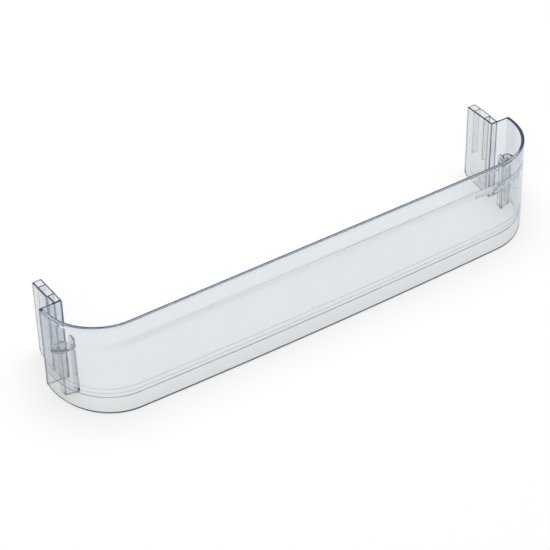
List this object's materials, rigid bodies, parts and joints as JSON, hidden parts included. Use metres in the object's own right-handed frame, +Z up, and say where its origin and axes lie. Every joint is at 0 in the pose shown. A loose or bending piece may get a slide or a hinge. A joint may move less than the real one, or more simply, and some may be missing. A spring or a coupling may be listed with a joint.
{
  "type": "fridge door shelf",
  "caption": "Clear plastic front rail of a fridge door shelf: a long panel with rounded corners and a hollow upright post at each end.",
  "frame": {"origin": "centre of the bounding box at its lowest level, where the base edge stands", "axes": "+X along the front panel to the right end, -Y towards the room (the front panel faces -Y), +Z up from the surface that the base edge stands on"},
  "size_m": [0.47, 0.1064, 0.0852],
  "materials": {
    "clear_plastic": "clear moulded polystyrene with a faint blue-grey tint, polished"
  },
  "bodies": {
    "root": {"door_shelf": "clear_plastic"}
  },
  "joints": []
}
